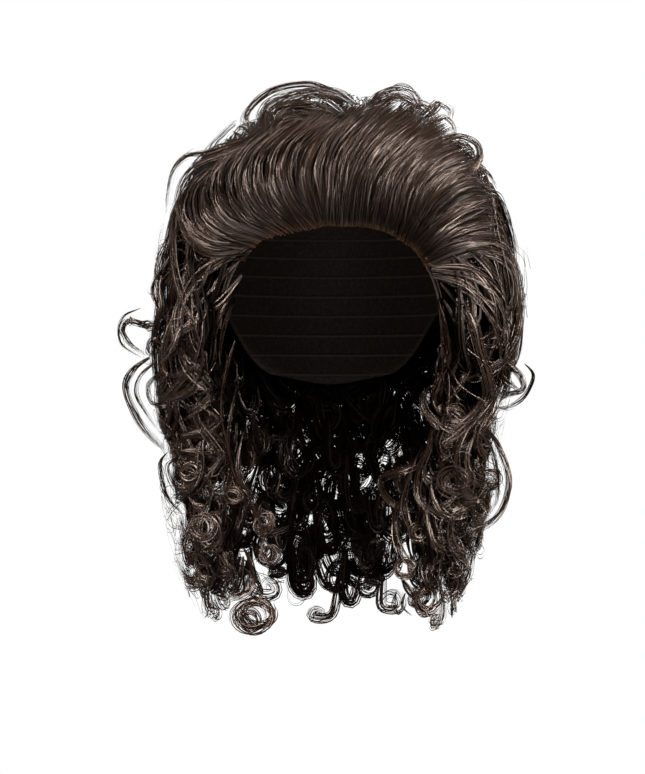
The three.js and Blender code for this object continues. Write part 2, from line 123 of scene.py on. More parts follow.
# Single locks that stand out in the photograph: strands, width, layer, and the line that they follow
TRACED = {
    "front_sweep": [
        (26, 7, 1, [(12, 37), (-4, 46), (-18, 49), (-38, 45), (-52, 34), (-57, 24), (-53, 18), (-46, 18)]),
        (18, 6, 0.95, [(8, 32), (-9, 42), (-24, 42), (-40, 37), (-46, 26), (-42, 15)]),
        (30, 12, 1, [(16, 32), (4, 40), (-14, 42), (-32, 36), (-44, 24), (-44, 10)]),
        (30, 12, 1, [(8, 24), (-8, 33), (-26, 31), (-39, 20), (-42, 6)]),
        (26, 11, 1, [(22, 27), (34, 37), (47, 38), (56, 30), (54, 20)]),
        (24, 10, 1, [(42, 22), (54, 33), (65, 30), (69, 18)]),
        (22, 9, 0.85, [(0, 26), (-17, 33), (-34, 30), (-42, 17)]),
        (22, 9, 0.85, [(-4, 18), (-21, 24), (-34, 20), (-40, 9)]),
        (18, 6, 1, [(22, 32), (32, 41), (45, 45), (54, 42), (58, 32), (51, 26)]),
        (16, 6, 0.9, [(27, 28), (39, 38), (49, 36), (53, 30)]),
        (14, 6, 1, [(56, 23), (64, 30), (71, 35), (78, 31), (78, 24)]),
        (10, 4, 1, [(62, 17), (72, 26), (79, 21), (81, 11)]),
        (22, 5, 1, [(66, 8), (76, 12), (86, 13), (95, 8), (97, -1), (90, -8), (80, -6), (77, 1)]),
        (14, 4, 0.95, [(70, 4), (82, 9), (91, 4), (92, -3), (84, -5)]),
        (14, 4, 1, [(84, -22), (90, -13), (97, -8), (103, -11), (109, -22)]),
        (20, 6, 1, [(96, -24), (110, -24), (118, -40), (123, -58), (123, -72)]),
        (14, 5, 1, [(-43, 15), (-61, 9), (-81, 4), (-95, 2), (-105, -8), (-109, -24), (-110, -36)]),
        (26, 8, 0.95, [(-46, 10), (-66, 3), (-85, -3), (-97, -14), (-102, -30), (-99, -44)]),
    ],
    "temple_locks_left": [
        (40, 10, 1, [(-53, -59), (-71, -67), (-87, -77), (-97, -93), (-100, -113), (-107, -128),
                     (-119, -139)]),
        (26, 8, 0.95, [(-58, -67), (-73, -79), (-84, -93), (-97, -105), (-102, -119)]),
        (30, 7, 1, [(-58, -78), (-71, -93), (-88, -105), (-100, -116), (-106, -129)]),
        (24, 7, 0.95, [(-61, -85), (-71, -99), (-77, -116), (-79, -133), (-87, -145), (-100, -143)]),
        (10, 4, 1, [(-63, -93), (-70, -113), (-73, -136), (-69, -154)]),
        (24, 8, 0.95, [(-63, -120), (-70, -145), (-71, -170), (-67, -195), (-76, -210)]),
        (22, 8, 0.9, [(-62, -150), (-67, -180), (-64, -205), (-56, -225), (-60, -245)]),
        (20, 8, 0.9, [(-58, -180), (-62, -205), (-52, -228), (-45, -250), (-52, -268)]),
    ],
    "side_curls_left": [
        (16, 4, 1, [(-103, -61), (-114, -74), (-119, -85), (-115, -99), (-107, -107)]),
        (22, 6, 1, [(-107, -107), (-122, -110), (-135, -107), (-139, -113), (-133, -123), (-122, -130)]),
        (12, 3, 1, [(-127, -98), (-138, -103), (-142, -113), (-139, -123), (-127, -131)]),
        (12, 4, 0.9, [(-111, -123), (-119, -119), (-122, -127), (-115, -131)]),
        (24, 8, 1, [(-121, -131), (-131, -138), (-137, -149), (-133, -164), (-123, -181), (-109, -194)]),
        (10, 4, 1, [(-117, -134), (-127, -143), (-130, -154), (-124, -167), (-114, -181)]),
        (14, 5, 1, [(-111, -139), (-121, -149), (-119, -161), (-109, -163), (-106, -154)]),
        (26, 8, 1, [(-99, -183), (-84, -182), (-71, -189), (-66, -201), (-69, -216), (-78, -225)]),
        (22, 8, 0.95, [(-99, -194), (-87, -196), (-74, -201), (-70, -213)]),
        (18, 5, 1, [(-109, -194), (-114, -201), (-113, -213), (-109, -225), (-98, -236)]),
        (14, 5, 0.95, [(-102, -197), (-109, -203), (-107, -213), (-101, -221), (-90, -227)]),
        (24, 5, 1, [(-84, -235), (-71, -235), (-67, -243), (-73, -251), (-84, -256), (-93, -249),
                    (-95, -239)]),
        (10, 3, 1, [(-95, -248), (-98, -256), (-93, -267), (-82, -270)]),
        (18, 5, 1, [(-90, -258), (-81, -267), (-73, -276), (-61, -273), (-53, -267)]),
    ],
    "rear_curls_left": [
        (18, 4, 1, [(-61, -266), (-57, -276), (-58, -285), (-66, -288), (-70, -290)]),
        (18, 4, 1, [(-58, -256), (-52, -268), (-51, -281), (-57, -287), (-66, -291), (-68, -293)]),
        (14, 3, 1, [(-60, -262), (-51, -270), (-47, -280), (-51, -289), (-60, -291)]),
        (14, 3, 1, [(-63, -266), (-52, -275), (-46, -285), (-49, -293), (-58, -295)]),
    ],
    "temple_locks_right": [
        (44, 10, 1, [(71, -82), (86, -101), (94, -123), (101, -143), (102, -158), (90, -174), (73, -175),
                     (62, -166), (61, -156), (69, -149)]),
        (20, 6, 0.95, [(73, -93), (83, -113), (83, -133), (77, -146)]),
        (34, 9, 0.95, [(66, -78), (83, -82), (98, -93), (107, -107), (109, -126)]),
        (34, 9, 0.95, [(65, -73), (86, -74), (105, -83), (114, -101), (113, -123)]),
        (24, 7, 0.9, [(70, -93), (74, -113), (76, -133), (70, -146), (66, -155)]),
        (20, 8, 0.9, [(86, -58), (102, -70), (112, -88), (115, -108), (110, -128)]),
        (20, 8, 0.85, [(80, -64), (97, -78), (106, -96), (107, -118), (101, -138)]),
        (30, 8, 1, [(81, -86), (93, -106), (98, -126), (105, -146), (106, -163), (98, -179)]),
        (14, 4, 1, [(73, -151), (67, -159), (73, -169), (80, -165)]),
        (12, 4, 1, [(79, -149), (83, -159), (81, -167)]),
        (18, 4, 1, [(77, -178), (73, -191), (63, -200), (46, -206), (35, -211), (33, -217), (40, -227),
                    (62, -235)]),
        (22, 8, 0.9, [(66, -172), (64, -190), (58, -205), (56, -222), (66, -236)]),
        (22, 8, 0.9, [(60, -190), (52, -208), (48, -228), (54, -248), (64, -255)]),
        (20, 8, 0.9, [(50, -215), (42, -235), (44, -255), (54, -268), (64, -262)]),
    ],
    "side_curls_right": [
        (24, 6, 1, [(109, -127), (118, -135), (127, -145), (127, -153), (116, -156), (108, -155)]),
        (12, 3, 1, [(129, -135), (135, -143), (130, -156), (118, -164), (106, -163)]),
        (14, 5, 0.95, [(109, -136), (116, -146), (125, -153)]),
        (34, 8, 1, [(93, -175), (84, -189), (83, -205), (87, -218), (99, -226)]),
        (26, 6, 1, [(101, -176), (111, -189), (118, -206), (119, -219), (113, -234), (101, -244),
                    (86, -248)]),
        (14, 4, 1, [(98, -179), (107, -193), (111, -209), (111, -226), (105, -236)]),
        (12, 3, 1, [(112, -206), (111, -216), (103, -218), (97, -211), (102, -204), (108, -206)]),
        (24, 8, 0.95, [(96, -180), (90, -196), (94, -210), (104, -216), (100, -228)]),
        (26, 8, 0.95, [(73, -223), (86, -229), (99, -228), (106, -236)]),
        (24, 8, 0.9, [(59, -226), (76, -236), (93, -234), (107, -238)]),
        (8, 3, 1, [(85, -251), (87, -261), (92, -266)]),
    ],
    "rear_curls_right": [
        (8, 3, 0.9, [(74, -266), (83, -263), (91, -269), (91, -279), (83, -286), (74, -285), (73, -276)]),
        (6, 2, 0.9, [(81, -263), (85, -273), (78, -283)]),
        (18, 4, 0.9, [(54, -283), (55, -293), (65, -297), (73, -291), (73, -283)]),
        (8, 3, 0.9, [(54, -289), (58, -299), (67, -301), (73, -295)]),
        (8, 3, 0.9, [(43, -285), (41, -294), (45, -300), (49, -293), (47, -285)]),
        (6, 2, 0.9, [(49, -286), (47, -295), (53, -301)]),
        (24, 8, 0.85, [(46, -276), (54, -286), (66, -283), (73, -273)]),
    ],
}

# Ends that wind into flat coils: strands, width, centre, radius of the first turn and the last, turns
COILS = {
    "rear_curls_left": [
        (9, 3, (-51, -302), 15, 12, 1.8),
        (9, 3, (-48, -300), 12, 8, 2),
        (8, 2, (-53, -304), 9, 4, 2.2),
        (8, 3, (-40, -262), 7, 4, 2.2),
        (8, 3, (-44, -240), 6, 4, 2),
    ],
    "side_curls_left": [
        (9, 3, (-82, -243), 13, 7, 2),
        (8, 3, (-92, -208), 9, 5, 1.8),
        (8, 3, (-62, -222), 8, 5, 2),
    ],
    "side_curls_right": [(8, 3, (105, -212), 8, 4, 2), (10, 3, (82, -212), 11, 5, 2)],
    "rear_curls_right": [
        (7, 2, (62, -290), 9, 5, 2),
        (7, 2, (48, -270), 7, 4, 2.4),
        (7, 2, (56, -246), 7, 4, 2),
    ],
}

# Kinds of lock: strands, points along each, width and depth of the lock, thickness of a strand, swell at the
# root and the tip, wander of the strands, unevenness of their ends, and the tones that they run through
# Low tones are painted shade: near black at the roots, and over the inner, crown_base and low_curl locks
KINDS = {
    "swept_base": dict(
        strands=24, points=12, width=14, depth=2, thick=1.2, root=1, tip=0.8, frizz=0.5, tone=(0, 0.4)
    ),
    "swept_clump": dict(strands=34, points=16, depth=4, thick=0.6, root=1, tip=0.6, frizz=0.8, tone=WHOLE),
    "swept_single": dict(
        strands=2, points=20, width=8, depth=5, thick=0.35, root=1, tip=1, frizz=1.5, tone=WHOLE
    ),
    "crown_base": dict(
        strands=14, points=12, width=16, depth=3, thick=2.2, root=1, tip=1, frizz=0.5, tone=(0.2, 0.34)
    ),
    "crown_over": dict(strands=28, points=14, width=18, depth=7, thick=0.85, root=0.9, tip=0.8),
    "crown_back": dict(strands=20, points=12, width=22, depth=7, thick=1, root=0.8, tip=0.8),
    "crown_curl": dict(strands=14, points=18, width=7, depth=5, thick=0.6),
    "inner": dict(
        strands=30, points=18, width=26, depth=14, thick=1.8, root=1, tip=0.8, frizz=2, uneven=0.25, tone=DARK
    ),
    "low_curl": dict(
        strands=20, points=20, width=9, depth=7, thick=0.9, tip=0.6, frizz=1, tone=(0.18, 0.36)
    ),
    "curl": dict(points=22, thick=0.6, frizz=0.9, uneven=0.22),
    "single": dict(strands=2, points=20, width=7, depth=6, thick=0.4),
    "traced": dict(thick=0.72, root=0.4, tip=0.7, uneven=0.15, tone=(0.16, 1)),
    "coil": dict(thick=0.75, root=1, tip=1, frizz=0.5, uneven=0.2),
}
TOP_LOCKS = {
    "swept_base": 56,
    "swept_clump": 64,
    "swept_single": 70,
    "crown_base": 36,
    "crown_over": 30,
    "crown_curl": 26,
}
CROWN_RINGS = [(0.3, 20), (0.5, 24)]  # arc of each ring of locks behind the crown, and its locks
SINGLES = 40  # pairs of hairs that stand off each area

# Shares of a strand's length
FULL_FROM, FULL_TO = 0.3, 0.45  # where a lock has its whole width
ROUND_FROM = 0.2  # by which a lock has its whole depth
LOOSE_FROM = 0.5  # by which the strands wander fully
ROOT_END, TIP_START = 0.07, 0.6  # where a strand stops widening and starts to taper
ROOT_WIDTH, TIP_WIDTH = 0.3, 0.25  # of a strand's thickness
THICK_SPREAD = (0.6, 1.3)  # of a strand's thickness
WANDER_TURNS = (0.6, 2.2)  # along a strand
ROUNDING = 0.6  # how far the strands at a lock's edges face sideways
TILT_SPREAD = 0.4  # radians by which strands tilt about their own line
PAINTED_SHADE_BELOW = (0.12, 0.36)  # tone under which a strand takes the duller shaded_fibre, which paints shade

# Colours of the fibre, and along a strand: brown at the knot, then painted shade near black at the root, then
# whole
# Copies of one fibre: gloss lowered on the top and raised on the sides to set how bright the highlights come
# out there
GLOSS = {"swept_fibre": 0.4, "curled_fibre": 0.6, "shaded_fibre": 0.14}
SHEEN = (1, 0.77, 0.66, 1)
FIBRE_STOPS = [(0.42, (0.004, 0.0026, 0.0019)), (0.7, (0.062, 0.033, 0.02))]
SHADE_STOPS = [
    (0, (1.5, 1.2, 0.9)),
    (0.03, (0.6, 0.46, 0.35)),
    (0.07, (0.14, 0.13, 0.12)),
    (0.24, (0.34, 0.31, 0.29)),
    (0.4, (1, 1, 1)),
]
FIBRES_ACROSS, FIBRES_ALONG = 5, 2.5  # marks on one strand
ROOT_ROUGHNESS, FIBRE_ROUGHNESS = 0.5, 0.27

# The net and its sewn rows, and the knots of the hairline
NET_STOPS = [(0, (0.03, 0.021, 0.016)), (1, (0.11, 0.08, 0.062))]
ROW_STOPS = [(0, (0, 0, 0)), (0.4, (0, 0, 0)), (0.5, (1, 1, 1)), (0.6, (0, 0, 0)), (1, (0, 0, 0))]
SEWN_COLOR, NET_COLOR, KNOT_COLOR = (0.2, 0.15, 0.12, 1), (0.012, 0.009, 0.008), (0.05, 0.025, 0.013)
NET_MESHES = (360, 240, 1)  # round and along both faces of the cap


def smooth(value, low, high):
    t = np.clip((value - low) / (high - low), 0, 1)
    return t * t * (3 - 2 * t)


def mix(a, b, share):
    return a + (b - a) * share


def unit(vectors):
    return vectors / np.maximum(np.linalg.norm(vectors, axis=-1, keepdims=True), 1e-9)


def dot(a, b):
    return np.sum(a * b, axis=-1, keepdims=True)


def arc_at(drop):
    drop = np.asarray(drop, float)
    dome = np.arccos(1 - np.minimum(drop, CROWN_RISE) / CROWN_RISE) / (math.pi / 2)
    return dome + np.maximum(drop - CROWN_RISE, 0) / ARC_LENGTH


def drop_at(arc):
    dome = CROWN_RISE * (1 - np.cos(np.minimum(arc, 1) * math.pi / 2))
    return dome + np.maximum(arc - 1, 0) * ARC_LENGTH


def folded(azimuth):
    return np.abs((np.asarray(azimuth, float) + 180) % 360 - 180)


def edge_arc(azimuth):
    return arc_at(np.interp(folded(azimuth), CAP_EDGE["azimuth"], CAP_EDGE["drop"]))


def on_head(azimuth, arc, lift):
    """Points on the head, and the way that it faces there."""
    arc = np.abs(arc)
    polar = np.clip(arc, 0, 1) * math.pi / 2
    fall = np.maximum(arc - 1, 0) * ARC_LENGTH
    neck = smooth(fall, 0, NECK_DROP)
    half_width = mix(HEAD_WIDTH, NECK_WIDTH, neck) / 2
    half_length = mix(HEAD_LENGTH, NECK_LENGTH, neck) / 2
    turn = np.radians(azimuth)
    across = half_width * np.sin(polar) * np.sin(turn)
    ahead = -half_length * np.sin(polar) * np.cos(turn)
    height = CROWN_RISE * np.cos(polar) + 0 * turn
    foot = np.stack([across, ahead, height], axis=-1)
    slope = np.stack([across / half_width**2, ahead / half_length**2, height / CROWN_RISE**2], axis=-1)
    normal = unit(slope)
    foot[..., 2] -= CROWN_RISE + fall
    return foot + normal * np.asarray(lift)[..., None], normal


def stand_off(azimuth, arc):
    """How far the hair's outside stands off the head."""
    corner = BORDERS[0][0]
    behind = np.radians(np.maximum(folded(azimuth) - corner, 0)) * HEAD_WIDTH / 2
    above = np.maximum(edge_arc(np.minimum(folded(azimuth), corner)) - arc, 0) * ARC_LENGTH
    rise = smooth(np.hypot(behind, above), 0, FRONT_RISE)
    down = drop_at(arc) / HAIR_DROP
    right_share = (1 + np.sin(np.radians(azimuth))) / 2
    left = np.interp(down, VOLUMES["down"], VOLUMES["left"])
    right = np.interp(down, VOLUMES["down"], VOLUMES["right"])
    return HAIR_VOLUME * mix(left, right, right_share) * mix(EDGE_SHARE, 1, rise)


def border_at(index, down):
    if index == len(BORDERS):
        return 360 - border_at(index - 1, down)
    rim, low = BORDERS[index]
    return mix(rim, low, smooth(down, 0, SWING_SHARE))


SAMPLES_AROUND, SAMPLES_DOWN = 121, 110


def sampled_outside():
    """Points all over the hair's outside, with the way that it faces and its stand-off."""
    around = np.linspace(-180, 180, SAMPLES_AROUND)
    azimuth, arc = np.meshgrid(around, np.linspace(0.02, arc_at(HAIR_DROP), SAMPLES_DOWN))
    azimuth, arc = azimuth.ravel(), arc.ravel()
    down = drop_at(arc) / HAIR_DROP
    covered = (arc < edge_arc(azimuth)) | (folded(azimuth) > border_at(0, down))
    azimuth, arc = azimuth[covered], arc[covered]
    off = stand_off(azimuth, arc)
    places, normals = on_head(azimuth, arc, off)
    return places, normals, off


OUTSIDE, OUTSIDE_NORMALS, OUTSIDE_OFF = sampled_outside()
TO_FRONT = np.array((0, -1.5, 0))  # turns coils towards the front
BLUR = 5  # mm over which the outside is averaged where a traced line lies on it
SLOWING = 0.06  # arc over which hair that reaches the lower end slows down
SMALL_CURL = 45  # mm, under which a traced line lies nearly flat
FRONT_PULL = 0.12  # how much the front of the hair is preferred to what is behind it


def set_on_hair(points, layer):
    """Lays (across, height) places, as seen from the front, on a layer of the hair."""
    seen = np.array(points, float)
    gap = (OUTSIDE[None, :, 0] - seen[:, None, 0]) ** 2 + (OUTSIDE[None, :, 2] - seen[:, None, 1]) ** 2
    cost = gap + (FRONT_PULL * (OUTSIDE[None, :, 1] + HEAD_LENGTH)) ** 2
    weight = np.exp(-(cost - cost.min(axis=1, keepdims=True)) / (2 * BLUR**2))
    weight /= weight.sum(axis=1, keepdims=True)
    normal = unit(weight @ OUTSIDE_NORMALS)
    depth = weight @ (OUTSIDE[:, 1] - (1 - layer) * OUTSIDE_OFF * OUTSIDE_NORMALS[:, 1])
    return np.stack([seen[:, 0], depth, seen[:, 1]], axis=1), normal


def spline(points, t):
    """A smooth curve through points, at shares t of its length."""
    last = len(points) - 1
    lengths = np.concatenate([[0], np.cumsum(np.linalg.norm(np.diff(points, axis=0), axis=1))])
    place = np.interp(t, lengths / lengths[-1], np.arange(last + 1))
    index = np.clip(place.astype(int), 0, last - 1)
    f = (place - index)[..., None]
    p0, p1 = points[np.maximum(index - 1, 0)], points[index]
    p2, p3 = points[index + 1], points[np.minimum(index + 2, last)]
    bend = 2 * p0 - 5 * p1 + 4 * p2 - p3
    twist = 3 * p1 - p0 - 3 * p2 + p3
    return 0.5 * (2 * p1 + (p2 - p0) * f + bend * f**2 + twist * f**3)


class Hair:
    """The strands of one piece, gathered as ribbons and made into one mesh."""

    def __init__(self, name):
        self.name = name
        self.ribbons = []

    def grow(
        self, route, strands, points, width, depth, thick, root=0.6, tip=0.5, frizz=0.7, uneven=0.1, tone=LIT
    ):
        """Adds the strands of one lock. route(t) gives places and the way that the lock faces there."""
        ends = 1 - uneven * rng.random((strands, 1))
        t = np.linspace(0, 1, points)[None, :] * ends
        line, out = route(t)
        along = unit(np.gradient(line, axis=1))
        out = unit(out - along * dot(out, along))
        side = np.cross(along, out)
        swell = mix(root, 1, smooth(t, 0, FULL_FROM)) * mix(1, tip, smooth(t, FULL_TO, 1))
        turn = rng.uniform(0, 2 * math.pi, (strands, 1))
        spot = np.sqrt(rng.random((strands, 1)))
        x, y = spot * np.cos(turn), spot * np.sin(turn)
        rate = rng.uniform(*WANDER_TURNS, (2, strands, 1))
        start = rng.uniform(0, 2 * math.pi, (2, strands, 1))
        reach = frizz * smooth(t, 0, LOOSE_FROM)
        wander = reach * np.sin(2 * math.pi * rate * t + start) * rng.normal(0, 1, (2, strands, 1))
        across = x * width / 2 * swell + wander[0]
        deep = y * depth / 2 * swell * smooth(t, -ROUND_FROM / 4, ROUND_FROM) + wander[1]
        path = line + side * across[..., None] + out * deep[..., None]
        facing = out + side * (ROUNDING * x)[..., None]
        self.ribbon(path, facing, t / ends, thick, tone)

    def ribbon(self, path, facing, t, thick, tone):
        """Adds strands along paths, each a ribbon that tapers to its tip."""
        count, points = path.shape[:2]
        along = unit(np.gradient(path, axis=1))
        facing = unit(facing - along * dot(facing, along))
        tilt = rng.normal(0, TILT_SPREAD, (count, 1, 1))
        facing = facing * np.cos(tilt) + np.cross(along, facing) * np.sin(tilt)
        edge = np.cross(along, facing)
        half = thick / 2 * rng.uniform(*THICK_SPREAD, (count, 1)) * mix(1, TIP_WIDTH, smooth(t, TIP_START, 1))
        half = half * mix(ROOT_WIDTH, 1, smooth(t, 0, ROOT_END))
        sides = np.stack([path - edge * half[..., None], path + edge * half[..., None]], axis=2)
        shade = rng.integers(0, SHADES, count)
        place = np.broadcast_to(mix(*tone, t), (count, points))
        # stretches near the root that take the duller copy of the fibre, which paints shade
        dull_in_shade = place[:, :-1] < rng.uniform(*PAINTED_SHADE_BELOW, (count, 1))
        self.ribbons.append((sides * MM, shade, place, dull_in_shade))

    def make(self, materials):
        """Makes the mesh. The stretches near the roots in painted shade take the second of the materials, a
        duller copy of the fibre.
        """
        verts, quads, uvs, base = [], [], [], 0
        for sides, shade, t, _ in self.ribbons:
            count, points = sides.shape[:2]
            verts.append(sides.reshape(-1, 3))
            index = base + np.arange(count * points * 2).reshape(count, points, 2)
            quad = np.stack([index[:, :-1, 0], index[:, :-1, 1], index[:, 1:, 1], index[:, 1:, 0]], axis=-1)
            quads.append(quad.reshape(-1, 4))
            left = np.broadcast_to(((shade + 0.1) / SHADES)[:, None], t.shape)
            right = left + 0.8 / SHADES
            uv = np.stack([np.stack([left, t], axis=-1), np.stack([right, t], axis=-1)], axis=2)
            corners = np.stack([uv[:, :-1, 0], uv[:, :-1, 1], uv[:, 1:, 1], uv[:, 1:, 0]], axis=2)
            uvs.append(corners.reshape(-1, 2))
            base += count * points * 2
        piece = mesh_object(self.name, np.concatenate(verts), np.concatenate(quads), np.concatenate(uvs))
        dress(piece, materials[0], self.name.replace("_hair", ""))
        piece.data.materials.append(materials[1])
        dull_in_shade = np.concatenate([row[3].ravel() for row in self.ribbons])
        piece.data.polygons.foreach_set("material_index", dull_in_shade.astype(np.int32))


def mesh_object(name, verts, quads, uvs=None):
    mesh = bpy.data.meshes.new(name)
    mesh.vertices.add(len(verts))
    mesh.vertices.foreach_set("co", np.asarray(verts, np.float32).ravel())
    mesh.loops.add(quads.size)
    mesh.loops.foreach_set("vertex_index", np.asarray(quads, np.int32).ravel())
    mesh.polygons.add(len(quads))
    mesh.polygons.foreach_set("loop_start", np.arange(0, quads.size, 4, dtype=np.int32))
    mesh.polygons.foreach_set("use_smooth", np.ones(len(quads), bool))
    if uvs is not None:
        layer = mesh.uv_layers.new(name="OFBake")
        layer.data.foreach_set("uv", np.asarray(uvs, np.float32).ravel())
    mesh.update(calc_edges=True)
    mesh.validate()
    piece = bpy.data.objects.new(name, mesh)
    bpy.context.collection.objects.link(piece)
    return piece


def dress(piece, material, node):
    piece.data.materials.append(material)
    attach(piece, "root")
    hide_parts(node)


def wire(tree, links):
    for start, end in links:
        tree.links.new(start, end)


def plain_material(name, color, roughness, glow=0):
    material = bpy.data.materials.new(name)
    material.use_nodes = True
    shader = material.node_tree.nodes["Principled BSDF"]
    shader.inputs["Base Color"].default_value = (*color, 1)
    shader.inputs["Roughness"].default_value = roughness
    shader.inputs["Emission Color"].default_value = (1, 1, 1, 1)
    shader.inputs["Emission Strength"].default_value = glow
    return material


def color_ramp(tree, stops):
    """A ramp through (place, colour) stops."""
    node = tree.nodes.new("ShaderNodeValToRGB")
    elements = node.color_ramp.elements
    for element, (place, color) in zip(elements, (stops[0], stops[-1])):
        element.position = place
        element.color = (*color, 1)
    for place, color in stops[1:-1]:
        elements.new(place).color = (*color, 1)
    return node


def hair_material(name, gloss):
    """Strands of different tints, brown at the knot and painted shade near black at the root, with fine
    fibres.
    """
    material = bpy.data.materials.new(name)
    material.use_nodes = True
    tree = material.node_tree
    nodes = tree.nodes
    shader = nodes["Principled BSDF"]
    shader.inputs["Specular IOR Level"].default_value = gloss
    shader.inputs["Specular Tint"].default_value = SHEEN
    uv = nodes.new("ShaderNodeUVMap")
    uv.uv_map = "OFBake"
    split = nodes.new("ShaderNodeSeparateXYZ")
    fibres = nodes.new("ShaderNodeMapping")
    fibres.inputs["Scale"].default_value = (SHADES * FIBRES_ACROSS, FIBRES_ALONG, 1)
    tint = nodes.new("ShaderNodeTexNoise")
    tint.inputs["Scale"].default_value = 1
    tint.inputs["Detail"].default_value = 2
    tint.inputs["Roughness"].default_value = 0.7
    ramp = color_ramp(tree, FIBRE_STOPS)
    shadow = color_ramp(tree, SHADE_STOPS)
    dull_in_shade = nodes.new("ShaderNodeMapRange")
    dull_in_shade.inputs["From Max"].default_value = SHADE_STOPS[-1][0]
    dull_in_shade.inputs["To Min"].default_value = ROOT_ROUGHNESS
    dull_in_shade.inputs["To Max"].default_value = FIBRE_ROUGHNESS
    relief = nodes.new("ShaderNodeBump")
    relief.inputs["Strength"].default_value = 0.4
    relief.inputs["Distance"].default_value = 0.0003
    blend = nodes.new("ShaderNodeMix")
    blend.data_type = "RGBA"
    blend.blend_type = "MULTIPLY"
    blend.inputs["Factor"].default_value = 1
    wire(
        tree,
        [
            (uv.outputs["UV"], split.inputs[0]),
            (uv.outputs["UV"], fibres.inputs["Vector"]),
            (fibres.outputs["Vector"], tint.inputs["Vector"]),
            (tint.outputs["Fac"], ramp.inputs[0]),
            (split.outputs["Y"], shadow.inputs[0]),
            (split.outputs["Y"], dull_in_shade.inputs["Value"]),
            (dull_in_shade.outputs[0], shader.inputs["Roughness"]),
            (tint.outputs["Fac"], relief.inputs["Height"]),
            (relief.outputs["Normal"], shader.inputs["Normal"]),
            (ramp.outputs[0], blend.inputs["A"]),
            (shadow.outputs[0], blend.inputs["B"]),
            (blend.outputs["Result"], shader.inputs["Base Color"]),
        ],
    )
    return material


TRACED_RISE = 0.05  # of the stand-off, above the layer that a row names
MORE_STRANDS, TRACED_WIDTH, TRACED_DEPTH = 1.3, 1.3, 0.7  # shares of what a row names
FLATNESS = 0.8  # how far a small curl is drawn into a plane
COIL_TILT, COIL_FLATNESS, COIL_SIZES = 0.35, (0.65, 1), (0.8, 1.12)
TRACED_POINTS, COIL_POINTS = 3, 16  # along a strand, for each point of its line and each turn of its coil


def grow_traced(hair, rows, reach):
    """Locks along lines seen in the photograph. None runs back by more than the reach."""
    for strands, width, layer, points in rows:
        places, normals = set_on_hair(points, layer + TRACED_RISE)
        places[:, 1] = np.minimum(places[:, 1], places[:, 1].min() + reach)
        if np.ptp(places[:, [0, 2]], axis=0).max() < SMALL_CURL:
            places[:, 1] = mix(places[:, 1], places[:, 1].mean(), FLATNESS)
            normals = unit(mix(normals, normals.mean(axis=0), FLATNESS))

        def route(t, places=places, normals=normals):
            return spline(places, t), unit(spline(normals, t))

        hair.grow(
            route,
            strands=int(MORE_STRANDS * strands),
            points=6 + TRACED_POINTS * len(points),
            width=TRACED_WIDTH * width,
            depth=TRACED_DEPTH * width,
            **KINDS["traced"],
        )


def grow_coils(hair, rows):
    """Flat spirals at the ends of locks, each strand a little off the others."""
    for strands, width, centre, first, last, turns in rows:
        places, normals = set_on_hair([centre], 1)
        normal = unit(normals[0] + TO_FRONT + rng.normal(0, COIL_TILT, 3))
        flat = rng.uniform(*COIL_FLATNESS)
        side = unit(np.cross(normal, (0, 0, 1)))
        up = np.cross(side, normal)
        phase = rng.uniform(0, 2 * math.pi)
        shift = rng.normal(0, width / 2.5, (strands, 1, 3))
        size = rng.uniform(*COIL_SIZES, (strands, 1))

        def route(t):
            turn = phase + 2 * math.pi * turns * t
            radius = size * mix(first, last, t)
            ring = side * (radius * np.cos(turn))[..., None] + up * (flat * radius * np.sin(turn))[..., None]
            return places[0] + shift + ring + normal * (width * t)[..., None], normal + 0 * ring

        hair.grow(route, strands, int(COIL_POINTS * turns) + 4, width, width, **KINDS["coil"])


def guide_at(place):
    """The line at a place between two of the guides of the swept hair."""
    index = min(int(place), len(SWEEP_GUIDES) - 2)
    guides = np.array(SWEEP_GUIDES, float)
    return mix(guides[index], guides[index + 1], place - index)


ROOT_SINK, ROOT_RISEN = 2.8, 0.14  # how deep swept hair starts, and the share of its length where it is out


def sweep_route(place, layer, reach, sway, ripple):
    """Hair swept off the face along a guide, with a sway to the side and a ripple off the head."""
    places, normals = set_on_hair(guide_at(place), layer)
    phase = rng.uniform(0, 2 * math.pi)

    def route(t):
        line = spline(places, t * reach)
        out = unit(spline(normals, t * reach))
        aside = unit(np.cross(out, np.gradient(line, axis=1)))
        line = line + aside * (sway * np.sin(3 * t))[..., None]
        line = line - out * (ROOT_SINK * (1 - smooth(t, 0, ROOT_RISEN)))[..., None]
        return line + out * (ripple * smooth(t, 0, 0.3) * np.sin(5 * t + phase))[..., None], out

    return route


# The flat map of the crown, where the widest level is 1 from its middle
OVER_FROM, OVER_TO = -0.46, 0.62  # from front to back
BASE_SIDES, OVER_SIDES = 0.64, 0.62
OVER_SPREAD = 0.5  # how far the hair spreads on its way back
OVER_RISE, CROWN_RISE_FROM = 0.55, 0.72  # where in its layer a lock starts
CROWN_SPAN, LOOSE_SPAN = (70, 290), (75, 285)  # azimuths


def crown_route(azimuth, ring, turn, length, layer):
    """Hair that leaves the crown at an arc and falls back over the cap."""

    def route(t):
        arc = ring + length * t
        around = azimuth + turn * t
        lift = CAP_WALL + layer * mix(CROWN_RISE_FROM, 1, smooth(t, 0, 0.3)) * stand_off(around, arc)
        return on_head(around, arc, lift)

    return route


def over_route(across, wave, layer):
    """Hair that runs back over the crown."""

    def route(t):
        right = across * (1 + OVER_SPREAD * t) + wave * np.sin(2 * math.pi * t)
        back = mix(OVER_FROM, OVER_TO, t)
        azimuth = np.degrees(np.arctan2(right, -back))
        arc = np.hypot(right, back)
        lift = CAP_WALL + layer * mix(OVER_RISE, 1, smooth(t, 0, 0.35)) * stand_off(azimuth, arc)
        return on_head(azimuth, arc, lift)

    return route


